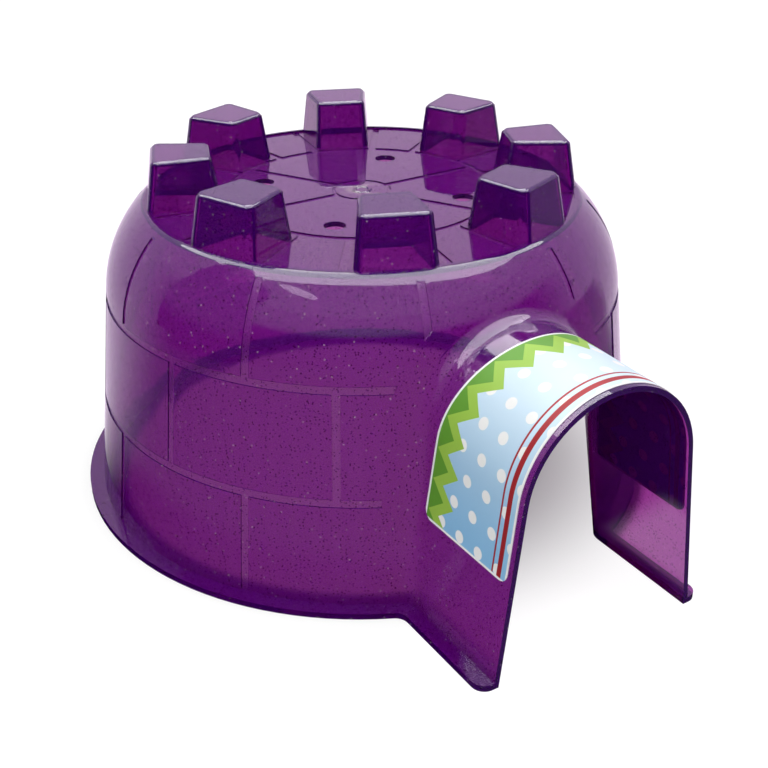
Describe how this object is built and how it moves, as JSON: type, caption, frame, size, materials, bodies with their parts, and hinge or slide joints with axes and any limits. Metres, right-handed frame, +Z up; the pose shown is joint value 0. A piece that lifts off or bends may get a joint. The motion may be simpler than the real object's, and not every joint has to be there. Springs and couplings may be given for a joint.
{
  "type": "rodent igloo",
  "caption": "Domed hide for small pets in clear tinted plastic, with a battlemented flat top, brick-pattern wall, air vents and an arched tunnel entrance under a printed label.",
  "frame": {"origin": "centre of the overall footprint, on the plane that the base flange rests on", "axes": "+Z up; +Y from the tunnel's mouth to the back of the dome, so the tunnel opens towards -Y; X across, the mirror plane is X = 0"},
  "size_m": [0.236, 0.2726, 0.1381],
  "materials": {
    "purple_plastic": "gloss",
    "printed_label": "semi-gloss"
  },
  "bodies": {
    "root": {"igloo_shell": "purple_plastic", "entrance_label": "printed_label"}
  },
  "joints": []
}
